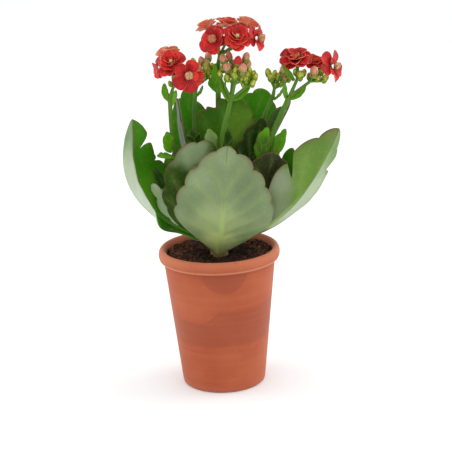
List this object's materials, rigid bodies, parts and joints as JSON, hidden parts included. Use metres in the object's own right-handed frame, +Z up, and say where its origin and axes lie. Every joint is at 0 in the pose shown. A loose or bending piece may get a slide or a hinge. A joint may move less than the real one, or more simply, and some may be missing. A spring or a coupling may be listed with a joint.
{
  "type": "potted kalanchoe",
  "caption": "Flowering succulent with scalloped fleshy leaves and clusters of red double flowers on branching stalks, growing in a round tapered clay pot with a rounded rim bead.",
  "frame": {"origin": "centre of the pot's underside, on the plane it stands on", "axes": "+Z up along the pot's axis; -Y is the plant's front, the side the camera sees; +X to the viewer's right"},
  "size_m": [0.1619, 0.1, 0.2742],
  "materials": {
    "terracotta": "unglazed fired clay, matt, with a chalky bloom on rim and edges",
    "soil": "damp dark potting soil, crumbly, with reddish brown fibres",
    "stem_green": "smooth fleshy green stalks",
    "foliage_pale": "waxy grey green leaf undersides, pinkish brown scalloped margin",
    "foliage_green": "waxy mid green leaves, thick and fleshy",
    "foliage_dark": "waxy dark green leaves in shade",
    "petal_red": "soft red petals with a paler salmon reverse",
    "bud_cream": "matt tan cream inner bud"
  },
  "bodies": {
    "root": {"pot": "terracotta", "soil": "soil", "crown": "stem_green", "leaf_front": "foliage_pale", "leaf_front_left": "foliage_green", "leaf_left_outer": "foliage_green", "leaf_left_inner": "foliage_pale", "leaf_left_dark": "foliage_dark", "leaf_right_outer": "foliage_green", "leaf_right_dark": "foliage_dark", "leaf_right_small": "foliage_green", "leaf_centre_back": "foliage_green", "leaf_back_right": "foliage_green", "leaf_back_left": "foliage_green", "leaf_left_edge": "foliage_dark", "leaf_right_back_dark": "foliage_dark", "leaf_right_behind": "foliage_dark", "leaf_back_low_left": "foliage_green", "leaf_back_low_right": "foliage_green", "leaf_back_middle": "foliage_green", "stalk_centre_front": "stem_green", "stalk_centre_back": "stem_green", "stalk_left_front": "stem_green", "stalk_left_back": "stem_green", "stalk_right_front": "stem_green", "stalk_right_back": "stem_green", "bloom_top_left": "petal_red", "bloom_top_left_heart": "bud_cream", "bloom_top_front": "petal_red", "bloom_top_front_heart": "bud_cream", "bloom_top_right": "petal_red", "bloom_top_right_heart": "bud_cream", "bloom_top_back_left": "petal_red", "bloom_top_back": "petal_red", "bloom_top_back_right": "petal_red", "bloom_left_front": "petal_red", "bloom_left_front_heart": "bud_cream", "bloom_left_double": "petal_red", "bloom_left_double_heart": "bud_cream", "bloom_left_side": "petal_red", "bloom_left_back": "petal_red", "bloom_right_double": "petal_red", "bloom_right_middle": "petal_red", "bloom_right_side": "petal_red", "bloom_right_side_heart": "bud_cream"}
  },
  "joints": []
}
